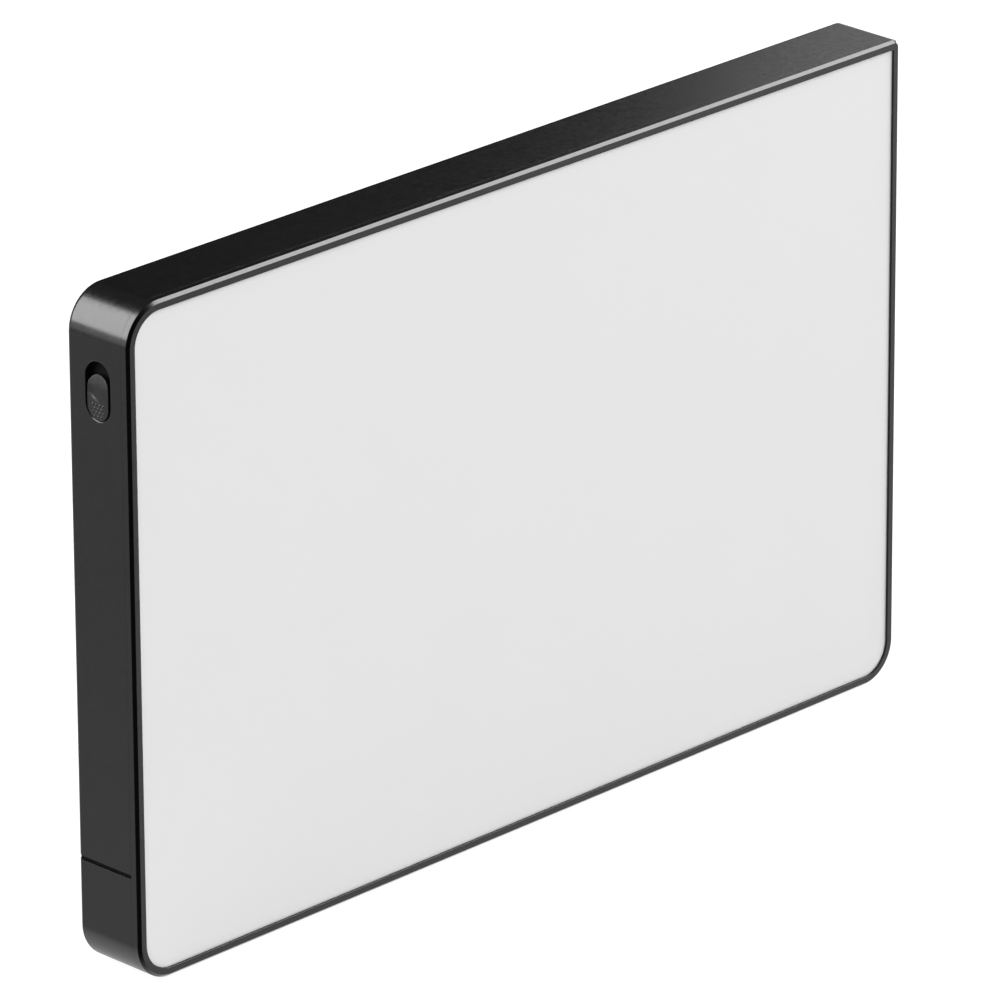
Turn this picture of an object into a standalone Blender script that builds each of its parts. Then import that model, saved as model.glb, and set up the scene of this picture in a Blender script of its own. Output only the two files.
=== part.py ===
"""A slim battery LED panel light with a slide switch, as an assembly of separate solids.

Lengths are written in millimetres and the helpers turn them into metres, with +Z up.
The origin is the middle of the footprint. X runs along the width, the lit face looks
towards -Y, and the light stands on Z = 0.
"""

import math

import bmesh
import bpy
from mathutils import Matrix

MM = 0.001

# Outer body
WIDTH = 152.0
HEIGHT = 98.5
DEPTH = 12.0
CORNER_RADIUS = 6.0
SQUARE_CORNER_RADIUS = 1.2  # the top corner at +X is nearly square
SMALLEST_RADIUS = 0.15
ARC_STEPS = 8  # facets in a quarter circle of the body's round corners
SQUARE_CORNER_STEPS = 2
SMALL_ARC_STEPS = 5
FRONT = -DEPTH / 2
BACK = DEPTH / 2

# Front frame
RIM = 1.4  # face of the frame, from the outside to the diffuser
FRAME_CHAMFER = 0.42
FRAME_DEPTH = 1.42  # how far the frame shows on the side walls
SEAT_INSET = 2.5  # inner edge of the seat under the diffuser
SEAT_Y = FRONT + 1.15
SKIRT_INSET = 1.0  # the skirt tucks inside the shells
SKIRT_END = 3.0

# Shells
SEAM = 0.1  # joint between frame and shells
SIDE_WALL = 0.9
BACK_WALL = 1.0
BACK_EDGE = 1.0
SHELL_START = FRONT + FRAME_DEPTH + SEAM
INNER_BACK = BACK - BACK_WALL
PARTING_Z = 15.86  # top of the lower cover
PARTING_GAP = 0.6
RIB_INSET = 0.35  # the seal's rib, below the outside

# Light space, front to back
FIT = 0.1  # gap between stacked layers
DIFFUSER_FRONT = FRONT + 0.3
DIFFUSER_EDGE_BACK = DIFFUSER_FRONT + 0.65
DIFFUSER_BACK = DIFFUSER_FRONT + 2.0
INSIDE_INSET = 2.8  # edge of film, reflector and LED board
FILM_FRONT = DIFFUSER_BACK + FIT
FILM_BACK = FILM_FRONT + 0.3
REFLECTOR_FRONT = FILM_BACK + FIT
REFLECTOR_BACK = -FIT
REFLECTOR_WALL = 0.8
LED_BOARD_BACK = 1.0
LED_COLUMNS = 12
LED_ROWS = 8
LED_PITCH_X = 12.0
LED_PITCH_Z = 11.0
LED_SIZE = (3.5, 0.7, 2.8)
SPREADER_FRONT = LED_BOARD_BACK + FIT
SPREADER_BACK = SPREADER_FRONT + 0.6

# Slide switch on the left side wall
SLOT_Y = -0.05
SLOT_WIDTH = 5.0
SLOT_BOTTOM = 81.15
SLOT_HEIGHT = 8.8
SWITCH_TRAVEL = 2.0
KNOB_WIDTH = 4.4
KNOB_HEIGHT = 6.6
KNOB_CLEARANCE = 0.1
KNOB_Z = SLOT_BOTTOM + KNOB_CLEARANCE + KNOB_HEIGHT / 2

# Screws and their bosses: (x, z) of each
BOSS_RADIUS = 2.3
BOSS_FRONT = LED_BOARD_BACK + FIT
BOSS_BACK = INNER_BACK - 0.15
SCREW_RADIUS = 1.0
SCREW_HEAD_RADIUS = 1.9
SCREW_HEAD_HEIGHT = 0.85
SCREW_TIP = 1.9
SHELL_SCREWS = {
    "screw_top_left": (-71.6, 94.1),
    "screw_top_right": (71.6, 94.1),
    "screw_middle_left": (-71.6, 20.6),
    "screw_middle_right": (71.6, 20.6),
}
COVER_SCREWS = {
    "screw_bottom_left": (-56.0, 4.4),
    "screw_bottom_right": (56.0, 4.4),
}

# Electronics behind the LED board
BOARD_FRONT = 2.0
BOARD_BACK = 2.8
BOARD_BOTTOM = 3.0
BOARD_TOP = 14.6
BOARD_HALF_WIDTH = 72.5
BOARD_CORNER = 3.5  # follows the frame's inner corner
CONTROL_Z = 8.5
CELL_FRONT = 2.0
CELL_BACK = 4.2
CELL_INNER_X = 1.0
CELL_OUTER_X = 63.2
CELL_BOTTOM = 20.5
CELL_TOP = 81.5
LEAD_RADIUS = 0.45

# Controls and ports
BUTTON_X = {"brightness_down": 32.0, "brightness_up": 44.0}
BUTTON_WIDTH = 7.6
BUTTON_HEIGHT = 4.0
BUTTON_TRAVEL = 0.25
BUTTON_GAP = 0.2
TACT_BACK = 3.4
GAUGE_X = (-24.0, -20.0, -16.0, -12.0)
USB_Y = 2.75
USB_Z = 8.0
USB_WIDTH = 8.94
USB_THICKNESS = 3.16
NUT_HALF_WIDTH = 6.0
NUT_Y = 0.9
NUT_DEPTH = 7.3
NUT_BOTTOM = 1.1
NUT_TOP = 7.5
NUT_BORE_RADIUS = 3.15

# Colour, roughness and metallic value of each kind of surface
FINISHES = {
    "black_shell": ((0.030, 0.030, 0.032), 0.42, 0.0),
    "black_frame": ((0.050, 0.050, 0.052), 0.40, 0.0),
    "opal": ((0.78, 0.78, 0.78), 0.55, 0.0),
    "white_plastic": ((0.85, 0.85, 0.84), 0.60, 0.0),
    "clear_plastic": ((0.80, 0.84, 0.86), 0.10, 0.0),
    "black_plastic": ((0.020, 0.020, 0.021), 0.50, 0.0),
    "black_rubber": ((0.012, 0.012, 0.012), 0.80, 0.0),
    "board": ((0.015, 0.110, 0.060), 0.45, 0.0),
    "white_board": ((0.75, 0.75, 0.73), 0.50, 0.0),
    "aluminium": ((0.60, 0.61, 0.62), 0.40, 1.0),
    "steel": ((0.45, 0.45, 0.46), 0.30, 1.0),
    "brass": ((0.62, 0.46, 0.20), 0.35, 1.0),
    "pouch": ((0.52, 0.53, 0.55), 0.35, 0.9),
    "foam": ((0.06, 0.06, 0.06), 0.90, 0.0),
    "amber_film": ((0.45, 0.20, 0.04), 0.40, 0.0),
    "red_wire": ((0.50, 0.02, 0.02), 0.45, 0.0),
    "black_wire": ((0.02, 0.02, 0.02), 0.45, 0.0),
    "adhesive": ((0.70, 0.70, 0.68), 0.70, 0.0),
}

# Turns a flat outline, drawn on local X and Y, so that it stands across the named axis
STANDING = {
    "X": Matrix(((0, 0, 1, 0), (1, 0, 0, 0), (0, 1, 0, 0), (0, 0, 0, 1))),
    "Y": Matrix(((1, 0, 0, 0), (0, 0, -1, 0), (0, 1, 0, 0), (0, 0, 0, 1))),
    "Z": Matrix.Identity(4),
}


def clear_scene():
    for thing in list(bpy.data.objects):
        bpy.data.objects.remove(thing)


def new_collection(name):
    collection = bpy.data.collections.new(name)
    bpy.context.scene.collection.children.link(collection)
    return collection


def at(x, y, z):
    """A place in millimetres as a matrix in metres."""
    return Matrix.Translation((x * MM, y * MM, z * MM))


def place(name, mesh, matrix):
    thing = bpy.data.objects.new(name, mesh)
    thing.matrix_world = matrix
    PARTS.objects.link(thing)
    return thing


# Outlines


def arc(centre, radius, start_degrees, steps):
    """A quarter circle, anticlockwise."""
    points = []
    for step in range(steps + 1):
        angle = math.radians(start_degrees + 90.0 * step / steps)
        points.append((centre[0] + radius * math.cos(angle), centre[1] + radius * math.sin(angle)))
    return points


def rounded_outline(low, high, radii, steps):
    """A rectangle with a radius and facets for each corner, anticlockwise from the low corner."""
    first, second, third, fourth = radii
    points = arc((low[0] + first, low[1] + first), first, 180, steps[0])
    points += arc((high[0] - second, low[1] + second), second, 270, steps[1])
    points += arc((high[0] - third, high[1] - third), third, 0, steps[2])
    points += arc((low[0] + fourth, high[1] - fourth), fourth, 90, steps[3])
    kept = []
    for point in points:
        if not kept or math.dist(point, kept[-1]) > 1e-6:
            kept.append(point)
    return kept


def centred_outline(centre, size, radius, steps=SMALL_ARC_STEPS):
    low = (centre[0] - size[0] / 2, centre[1] - size[1] / 2)
    high = (centre[0] + size[0] / 2, centre[1] + size[1] / 2)
    return rounded_outline(low, high, (radius,) * 4, (steps,) * 4)


def body_outline(inset):
    """The light's front view, drawn in by an inset on every side."""
    radii = []
    for radius in (CORNER_RADIUS, CORNER_RADIUS, SQUARE_CORNER_RADIUS, CORNER_RADIUS):
        radii.append(max(radius - inset, SMALLEST_RADIUS))
    low = (-WIDTH / 2 + inset, inset)
    high = (WIDTH / 2 - inset, HEIGHT - inset)
    steps = (ARC_STEPS, ARC_STEPS, SQUARE_CORNER_STEPS, ARC_STEPS)
    return rounded_outline(low, high, radii, steps)


# Solids


def mesh_from_curve(curve_object):
    """The closed mesh of a curve object, which is removed."""
    depsgraph = bpy.context.evaluated_depsgraph_get()
    mesh = bpy.data.meshes.new_from_object(curve_object.evaluated_get(depsgraph))
    bpy.data.objects.remove(curve_object)
    shape = bmesh.new()
    shape.from_mesh(mesh)
    bmesh.ops.remove_doubles(shape, verts=shape.verts, dist=0.002 * MM)
    bmesh.ops.dissolve_limit(
        shape, angle_limit=math.radians(0.1), verts=shape.verts, edges=shape.edges
    )
    bmesh.ops.triangulate(shape, faces=shape.faces)
    shape.to_mesh(mesh)
    shape.free()
    return mesh


def slab(name, outline, start, end, across="Y", edge=0.0):
    """A flat outline given thickness from start to end along an axis, with cut edges."""
    curve = bpy.data.curves.new(name, "CURVE")
    curve.dimensions = "2D"
    curve.fill_mode = "BOTH"
    curve.extrude = ((end - start) / 2 - edge) * MM
    curve.bevel_depth = edge * MM
    curve.bevel_resolution = 0
    curve.offset = -edge * MM
    spline = curve.splines.new("POLY")
    spline.points.add(len(outline) - 1)
    for point, (u, v) in zip(spline.points, outline):
        point.co = (u * MM, v * MM, 0.0, 1.0)
    spline.use_cyclic_u = True
    flat = bpy.data.objects.new(name, curve)
    PARTS.objects.link(flat)
    bpy.context.view_layer.update()
    middle = {"X": (1, 0, 0), "Y": (0, 1, 0), "Z": (0, 0, 1)}[across]
    offset = [axis * (start + end) / 2 for axis in middle]
    return place(name, mesh_from_curve(flat), at(*offset) @ STANDING[across])


def block(name, low, high, edge=0.0):
    """A box between two corners, with bevelled edges where an edge width is given."""
    mesh = bpy.data.meshes.new(name)
    shape = bmesh.new()
    size = [(b - a) * MM for a, b in zip(low, high)]
    bmesh.ops.create_cube(shape, size=1.0, matrix=Matrix.Diagonal((*size, 1.0)))
    shape.to_mesh(mesh)
    shape.free()
    middle = [(a + b) / 2 for a, b in zip(low, high)]
    thing = place(name, mesh, at(*middle))
    if edge:
        bevel = thing.modifiers.new("edge", "BEVEL")
        bevel.width = edge * MM
        bevel.segments = 1
    return thing


def rod(name, centre, radius, start, end, across="Y", end_radius=None, sides=16):
    """A cylinder along an axis, or a cone where the far end has its own radius."""
    mesh = bpy.data.meshes.new(name)
    shape = bmesh.new()
    bmesh.ops.create_cone(
        shape,
        cap_ends=True,
        segments=sides,
        radius1=radius * MM,
        radius2=(radius if end_radius is None else end_radius) * MM,
        depth=(end - start) * MM,
    )
    shape.to_mesh(mesh)
    shape.free()
    middle = (start + end) / 2
    if across == "Y":
        turn = Matrix.Rotation(math.radians(-90.0), 4, "X")
        return place(name, mesh, at(centre[0], middle, centre[1]) @ turn)
    if across == "X":
        turn = Matrix.Rotation(math.radians(90.0), 4, "Y")
        return place(name, mesh, at(middle, centre[0], centre[1]) @ turn)
    return place(name, mesh, at(centre[0], centre[1], middle))


def smooth_route(points, spacing):
    """Points of a smooth curve through the route's own points, in millimetres."""
    first = [2 * a - b for a, b in zip(points[0], points[1])]
    last = [2 * a - b for a, b in zip(points[-1], points[-2])]
    guides = [first, *points, last]
    route = []
    for index in range(1, len(guides) - 2):
        before, start, end, after = guides[index - 1:index + 3]
        steps = max(1, round(math.dist(start, end) / spacing))
        for step in range(steps):
            t = step / steps
            route.append([
                0.5 * (2 * b + (c - a) * t + (2 * a - 5 * b + 4 * c - d) * t ** 2
                       + (3 * b - a - 3 * c + d) * t ** 3)
                for a, b, c, d in zip(before, start, end, after)
            ])
    route.append(list(points[-1]))
    return route


def lead(name, points, spacing, finish):
    """A round wire along a smooth route, with a point every spacing."""
    route = smooth_route(points, spacing)
    curve = bpy.data.curves.new(name, "CURVE")
    curve.dimensions = "3D"
    curve.bevel_depth = LEAD_RADIUS * MM
    curve.bevel_resolution = 2
    curve.use_fill_caps = True
    spline = curve.splines.new("POLY")
    spline.points.add(len(route) - 1)
    for point, co in zip(spline.points, route):
        point.co = (co[0] * MM, co[1] * MM, co[2] * MM, 1.0)
    thing = bpy.data.objects.new(name, curve)
    PARTS.objects.link(thing)
    paint(thing, finish)
    return thing


def change(target, operation, tool):
    """Cuts a tool out of a piece, or joins it on, and puts the tool among the cutters."""
    modifier = target.modifiers.new(tool.name, "BOOLEAN")
    modifier.operation = operation
    modifier.solver = "EXACT"
    modifier.object = tool
    PARTS.objects.unlink(tool)
    CUTTERS.objects.link(tool)
    tool.hide_render = True
    tool.display_type = "WIRE"


def cut(target, *tools):
    for tool in tools:
        change(target, "DIFFERENCE", tool)


def join(target, *tools):
    for tool in tools:
        change(target, "UNION", tool)


def paint(thing, finish):
    """Gives a piece its own material."""
    colour, roughness, metallic = FINISHES[finish]
    material = bpy.data.materials.new(f"{thing.name}_{finish}")
    material.use_nodes = True
    shader = material.node_tree.nodes["Principled BSDF"]
    shader.inputs["Base Color"].default_value = (*colour, 1.0)
    shader.inputs["Roughness"].default_value = roughness
    shader.inputs["Metallic"].default_value = metallic
    thing.data.materials.clear()
    thing.data.materials.append(material)
    return thing


# Housing


def front_frame():
    """The rim, the seat under the diffuser, the skirt and the screw bosses, in one piece."""
    frame = slab("front_frame", body_outline(0.0), FRONT, SKIRT_END, edge=FRAME_CHAMFER)
    outside = slab("cut_frame_outside", body_outline(-2.0), FRONT + FRAME_DEPTH, SKIRT_END + 1.0)
    keep = slab("cut_frame_skirt", body_outline(SKIRT_INSET), FRONT, SKIRT_END + 2.0)
    cut(outside, keep)
    opening = slab("cut_frame_opening", body_outline(RIM), FRONT - 1.0, SEAT_Y)
    inside = slab("cut_frame_inside", body_outline(SEAT_INSET), FRONT - 1.0, SKIRT_END + 1.0)
    cut(frame, outside, opening, inside)
    for name, (x, z) in {**SHELL_SCREWS, **COVER_SCREWS}.items():
        join(frame, rod(f"boss_{name}", (x, z), BOSS_RADIUS, BOSS_FRONT, BOSS_BACK))
    switch_gap = block("cut_frame_switch", (-77.0, -3.3, 77.5), (-73.3, 5.0, 93.6))
    nut_gap = block("cut_frame_nut", (-7.3, -3.1, 0.0), (7.3, 5.0, 8.0))
    usb_gap = block("cut_frame_usb", (72.0, 1.05, USB_Z - 4.8), (77.0, 5.0, USB_Z + 4.8))
    cut(frame, switch_gap, nut_gap, usb_gap)
    for name, (x, z) in {**SHELL_SCREWS, **COVER_SCREWS}.items():
        cut(frame, rod(f"hole_{name}", (x, z), SCREW_RADIUS + 0.15, SCREW_TIP - 0.4, INNER_BACK))
    return paint(frame, "black_frame")


def shell(name):
    """A tray with the body's outline, before it is parted into shell and cover."""
    tray = slab(name, body_outline(0.0), SHELL_START - 1.0, BACK, edge=BACK_EDGE)
    front = slab(f"cut_{name}_front", body_outline(-2.0), SHELL_START - 3.0, SHELL_START)
    inside = slab(f"cut_{name}_inside", body_outline(SIDE_WALL), SHELL_START - 2.0, INNER_BACK)
    cut(tray, front, inside)
    return tray


def screw_holes(piece, screws):
    """Countersunk holes through the back wall."""
    for name, (x, z) in screws.items():
        cut(piece, rod(f"through_{name}", (x, z), SCREW_RADIUS + 0.25, INNER_BACK - 1.0, BACK + 1.0))
        cut(piece, rod(f"sink_{name}", (x, z), SCREW_RADIUS + 0.1, INNER_BACK + 0.05, BACK + 0.2,
                       end_radius=SCREW_HEAD_RADIUS + 0.35))


def rear_shell():
    piece = shell("rear_shell")
    below = block("cut_rear_shell_below", (-80.0, -8.0, -2.0), (80.0, 8.0, PARTING_Z + PARTING_GAP))
    slot_centre = (SLOT_Y, SLOT_BOTTOM + SLOT_HEIGHT / 2)
    slot = slab("cut_switch_slot", centred_outline(slot_centre, (SLOT_WIDTH, SLOT_HEIGHT),
                                                   SLOT_WIDTH / 2), -78.0, -73.0, "X")
    cut(piece, below, slot)
    screw_holes(piece, SHELL_SCREWS)
    return paint(piece, "black_shell")


def lower_cover():
    piece = shell("lower_cover")
    cut(piece, block("cut_lower_cover_above", (-80.0, -8.0, PARTING_Z), (80.0, 8.0, HEIGHT + 2.0)))
    for side in (-1, 1):
        inner, outer = sorted((side * (NUT_HALF_WIDTH + 0.1), side * (NUT_HALF_WIDTH + 1.0)))
        join(piece, block(f"nut_rib_{side}", (inner, -2.6, 0.5), (outer, INNER_BACK + 0.3, 7.0)))
    cut(piece, rod("cut_tripod_hole", (0.0, NUT_Y), NUT_BORE_RADIUS + 0.3, -1.0, NUT_BOTTOM,
                   "Z", sides=24))
    usb = centred_outline((USB_Y, USB_Z), (USB_THICKNESS + 0.36, USB_WIDTH + 0.36), 1.5)
    cut(piece, slab("cut_usb_hole", usb, 73.0, 78.0, "X"))
    for name, x in BUTTON_X.items():
        hole = centred_outline((x, CONTROL_Z), (BUTTON_WIDTH + 2 * BUTTON_GAP,
                                                BUTTON_HEIGHT + 2 * BUTTON_GAP),
                               BUTTON_HEIGHT / 2 + BUTTON_GAP)
        cut(piece, slab(f"cut_{name}_hole", hole, INNER_BACK - 1.0, BACK + 1.0))
    for index, x in enumerate(GAUGE_X):
        cut(piece, rod(f"cut_gauge_{index}", (x, CONTROL_Z), 0.7, INNER_BACK - 1.0, BACK + 1.0,
                       sides=12))
    screw_holes(piece, COVER_SCREWS)
    return paint(piece, "black_shell")


def seam_seal():
    """A strip behind the parting line, with a rib that fills the foot of the groove."""
    seal = block("seam_seal", (-74.9, SKIRT_END + 0.1, 15.2), (74.9, INNER_BACK - 0.1, 17.3))
    cut(seal, block("cut_seam_seal", (-74.1, 2.0, 14.0), (74.1, INNER_BACK - 0.9, 18.0)))
    side = WIDTH / 2 - RIB_INSET
    rib = block("seam_rib", (-side, SHELL_START, PARTING_Z + 0.05),
                (side, BACK - RIB_INSET, PARTING_Z + PARTING_GAP - 0.05))
    beside_skirt = WIDTH / 2 - SKIRT_INSET + 0.05
    cut(rib,
        block("cut_seam_rib_front", (-beside_skirt, -8.0, 14.0), (beside_skirt, SKIRT_END + 0.15, 18.0)),
        block("cut_seam_rib_back", (-74.5, 2.0, 14.0), (74.5, INNER_BACK - 0.5, 18.0)))
    join(seal, rib)
    return paint(seal, "black_rubber")


def screws():
    """Countersunk screws, each with a cone head and a plain shank."""
    for name, (x, z) in {**SHELL_SCREWS, **COVER_SCREWS}.items():
        head_back = BACK - 0.08
        head_front = head_back - SCREW_HEAD_HEIGHT
        head = rod(name, (x, z), SCREW_RADIUS, head_front, head_back,
                   end_radius=SCREW_HEAD_RADIUS)
        shank = rod(f"shank_{name}", (x, z), SCREW_RADIUS, SCREW_TIP, head_back - 0.2)
        join(head, shank)
        paint(head, "steel")


# Light


def diffuser_panel():
    """An opal plate with a thinner edge that lies on the frame's seat."""
    plate = slab("diffuser_panel", body_outline(RIM + FIT), DIFFUSER_FRONT, DIFFUSER_BACK)
    edge = slab("cut_diffuser_edge", body_outline(0.0), DIFFUSER_EDGE_BACK, DIFFUSER_BACK + 1.0)
    core = slab("cut_diffuser_core", body_outline(INSIDE_INSET), DIFFUSER_FRONT, DIFFUSER_BACK + 2.0)
    cut(edge, core)
    cut(plate, edge)
    return paint(plate, "opal")


def diffuser_adhesive():
    ring = slab("diffuser_adhesive", body_outline(RIM + 0.15), DIFFUSER_EDGE_BACK + 0.05,
                SEAT_Y - 0.05)
    cut(ring, slab("cut_adhesive", body_outline(SEAT_INSET - 0.1), FRONT, 0.0))
    return paint(ring, "adhesive")


def diffusion_film():
    return paint(slab("diffusion_film", body_outline(INSIDE_INSET), FILM_FRONT, FILM_BACK),
                 "white_plastic")


def notches(piece, back, wall):
    """Clears the slide switch and the tripod nut out of a layer of the light space."""
    switch_inner = -69.0 + wall
    cut(piece, block(f"cut_{piece.name}_switch", (-77.0, -4.0, 78.5 - wall),
                     (switch_inner, back, 92.5 + wall)))
    cut(piece, block(f"cut_{piece.name}_nut", (-7.3 - wall, -4.0, -1.0),
                     (7.3 + wall, back, 8.1 + wall)))


def reflector_frame():
    """A white wall around the light space, stepped in past the switch and the tripod nut."""
    ring = slab("reflector_frame", body_outline(INSIDE_INSET), REFLECTOR_FRONT, REFLECTOR_BACK)
    hollow = slab("cut_reflector", body_outline(INSIDE_INSET + REFLECTOR_WALL), FRONT, 1.0)
    notches(hollow, 2.0, REFLECTOR_WALL)
    cut(ring, hollow)
    notches(ring, 2.0, 0.0)
    return paint(ring, "white_plastic")


def led_board():
    """The board with its LEDs soldered on the front."""
    board = slab("led_board", body_outline(INSIDE_INSET), 0.0, LED_BOARD_BACK)
    notches(board, 2.0, 0.0)
    mesh = bpy.data.meshes.new("led_array")
    shape = bmesh.new()
    size = Matrix.Diagonal((LED_SIZE[0] * MM, (LED_SIZE[1] + 0.3) * MM, LED_SIZE[2] * MM, 1.0))
    for row in range(LED_ROWS):
        for column in range(LED_COLUMNS):
            x = (column - (LED_COLUMNS - 1) / 2) * LED_PITCH_X
            z = HEIGHT / 2 + (row - (LED_ROWS - 1) / 2) * LED_PITCH_Z
            middle = at(x, (0.3 - LED_SIZE[1]) / 2, z)
            bmesh.ops.create_cube(shape, size=1.0, matrix=middle @ size)
    shape.to_mesh(mesh)
    shape.free()
    join(board, place("led_array", mesh, Matrix.Identity(4)))
    return paint(board, "white_board")


def heat_spreader():
    outline = centred_outline((0.0, 54.5), (136.0, 73.0), 2.0, 3)
    return paint(slab("heat_spreader", outline, SPREADER_FRONT, SPREADER_BACK), "aluminium")


# Battery


def battery():
    """Two flat cells with foam pads behind them, and their protection board."""
    for side, name in ((-1, "left"), (1, "right")):
        low_x, high_x = sorted((side * CELL_INNER_X, side * CELL_OUTER_X))
        middle = ((low_x + high_x) / 2, (CELL_BOTTOM + CELL_TOP) / 2)
        outline = centred_outline(middle, (high_x - low_x, CELL_TOP - CELL_BOTTOM), 1.5, 3)
        cell = slab(f"battery_cell_{name}", outline, CELL_FRONT, CELL_BACK, edge=0.5)
        for index, near in enumerate((4.0, 10.0)):
            tab_low, tab_high = sorted((side * near, side * (near + 3.0)))
            join(cell, block(f"tab_{name}_{index}", (tab_low, 2.9, CELL_TOP - 1.0),
                             (tab_high, 3.1, CELL_TOP + 2.3)))
        paint(cell, "pouch")
        pad = block(f"battery_pad_{name}", (low_x + 4.0, CELL_BACK + 0.08, CELL_BOTTOM + 4.0),
                    (high_x - 4.0, INNER_BACK - 0.08, CELL_TOP - 4.0))
        paint(pad, "foam")
    board = block("battery_protection_board", (-16.0, 2.5, 84.0), (16.0, 3.3, 88.5))
    for index, x in enumerate((-9.0, -2.0, 5.0)):
        join(board, block(f"protection_chip_{index}", (x, 3.2, 85.0), (x + 3.0, 4.0, 87.4)))
    paint(board, "board")


# Main board


def main_board():
    """The control board, with its small chips and gauge LEDs soldered on."""
    low = (-BOARD_HALF_WIDTH, BOARD_BOTTOM)
    high = (BOARD_HALF_WIDTH, BOARD_TOP)
    outline = rounded_outline(low, high, (BOARD_CORNER, BOARD_CORNER, 0.5, 0.5), (4, 4, 1, 1))
    board = slab("main_board", outline, BOARD_FRONT, BOARD_BACK)
    cut(board, block("cut_board_nut", (-7.3, 0.0, 0.0), (7.3, 4.0, 8.1)))
    cut(board, block("cut_board_usb", (68.5, 0.0, USB_Z - 4.8), (80.0, 4.0, USB_Z + 4.8)))
    for name, (x, z) in COVER_SCREWS.items():
        cut(board, rod(f"cut_board_{name}", (x, z), BOSS_RADIUS + 0.4, 0.0, 4.0))
    for name, low_x, size in (("controller", -35.0, 6.0), ("charger", 18.6, 3.6)):
        join(board, block(f"{name}_chip", (low_x, BOARD_BACK - 0.2, CONTROL_Z - size / 2),
                          (low_x + size, BOARD_BACK + 0.9, CONTROL_Z + size / 2)))
    for index, x in enumerate(GAUGE_X):
        join(board, block(f"gauge_led_{index}", (x - 0.8, BOARD_BACK - 0.2, CONTROL_Z - 0.4),
                          (x + 0.8, BOARD_BACK + 0.6, CONTROL_Z + 0.4)))
    return paint(board, "board")


def on_board(name, low, high, height, finish, edge=0.2):
    """A component that stands on the back of the main board, between two (x, z) corners."""
    start = BOARD_BACK + 0.1
    return paint(block(name, (low[0], start, low[1]), (high[0], start + height, high[1]), edge),
                 finish)


def board_components():
    on_board("shield_can", (-51.0, 5.0), (-39.0, 13.0), 1.4, "steel")
    on_board("power_inductor", (9.6, 5.2), (15.6, 11.2), 1.4, "black_plastic", 0.5)
    on_board("battery_connector", (62.4, 8.8), (67.8, 13.2), 1.4, "white_plastic")
    on_board("led_connector", (22.9, 10.8), (27.3, 13.8), 1.3, "white_plastic")
    on_board("ribbon_connector", (-69.4, 9.6), (-64.8, 12.6), 1.0, "black_plastic")


def usb_c_port():
    """A steel shell around an oblong socket, with the contact tongue inside."""
    middle = (USB_Y, USB_Z)
    port = slab("usb_c_port", centred_outline(middle, (USB_THICKNESS, USB_WIDTH), 1.4, 4),
                68.8, 75.8, "X")
    socket = centred_outline(middle, (USB_THICKNESS - 0.6, USB_WIDTH - 0.6), 1.1, 4)
    cut(port, slab("cut_usb_socket", socket, 69.8, 77.0, "X"))
    tongue = block("usb_tongue", (69.5, USB_Y - 0.35, USB_Z - 3.3), (74.6, USB_Y + 0.35, USB_Z + 3.3))
    join(port, tongue)
    return paint(port, "steel")


def tripod_nut():
    """A brass block with a quarter-inch hole, held between two ribs of the lower cover."""
    nut = block("tripod_nut", (-NUT_HALF_WIDTH, NUT_Y - NUT_DEPTH / 2, NUT_BOTTOM),
                (NUT_HALF_WIDTH, NUT_Y + NUT_DEPTH / 2, NUT_TOP))
    cut(nut, rod("cut_nut_bore", (0.0, NUT_Y), NUT_BORE_RADIUS, 0.0, 9.0, "Z", sides=24))
    return paint(nut, "brass")


def buttons():
    """Two brightness buttons in the back wall, each over a tact switch."""
    for name, x in BUTTON_X.items():
        centre = (x, CONTROL_Z)
        cap = centred_outline(centre, (BUTTON_WIDTH, BUTTON_HEIGHT), BUTTON_HEIGHT / 2)
        flange = centred_outline(centre, (BUTTON_WIDTH + 1.6, BUTTON_HEIGHT + 1.6),
                                 BUTTON_HEIGHT / 2 + 0.8)
        button = slab(f"{name}_button", cap, INNER_BACK - 0.6, BACK - 0.1, edge=0.2)
        join(button, slab(f"{name}_flange", flange, TACT_BACK + BUTTON_TRAVEL + 0.1,
                          INNER_BACK - 0.15))
        paint(button, "black_plastic")
        on_board(f"{name}_tact_switch", (x - 2.1, CONTROL_Z - 1.6), (x + 2.1, CONTROL_Z + 1.6),
                 TACT_BACK - BOARD_BACK - 0.1, "steel", 0.0)


def gauge_light_pipe():
    """A clear strip over the gauge LEDs, with a round post through the wall for each."""
    strip = block("gauge_light_pipe", (GAUGE_X[0] - 2.0, 3.6, CONTROL_Z - 1.0),
                  (GAUGE_X[-1] + 2.0, INNER_BACK - 0.1, CONTROL_Z + 1.0))
    for index, x in enumerate(GAUGE_X):
        join(strip, rod(f"gauge_post_{index}", (x, CONTROL_Z), 0.5, 4.0, BACK - 0.05, sides=12))
    return paint(strip, "clear_plastic")


# Slide switch


def switch_knob():
    """The thumb piece: a scooped cap in the slot, a dust flange and a socket behind it."""
    cap = centred_outline((SLOT_Y, KNOB_Z), (KNOB_WIDTH, KNOB_HEIGHT), KNOB_WIDTH / 2)
    knob = slab("switch_knob", cap, -75.95, -74.8, "X", edge=0.15)
    cut(knob, rod("cut_knob_scoop", (SLOT_Y, KNOB_Z + 1.45), 2.6, -4.0, 4.0, "Y", sides=32))
    flange_low = SLOT_BOTTOM - 0.3 - SWITCH_TRAVEL
    flange_high = SLOT_BOTTOM + SLOT_HEIGHT + 0.35
    flange = block("knob_flange", (-74.95, SLOT_Y - 2.9, flange_low),
                   (-74.45, SLOT_Y + 2.9, flange_high))
    socket = block("knob_socket", (-74.6, SLOT_Y - 1.9, KNOB_Z - 1.9),
                   (-73.6, SLOT_Y + 1.9, KNOB_Z + 1.9))
    join(knob, flange, socket)
    cut(knob, block("cut_knob_socket", (-74.3, SLOT_Y - 1.1, KNOB_Z - 0.85),
                    (-73.0, SLOT_Y + 1.1, KNOB_Z + 0.85)))
    return paint(knob, "black_plastic")


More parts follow.
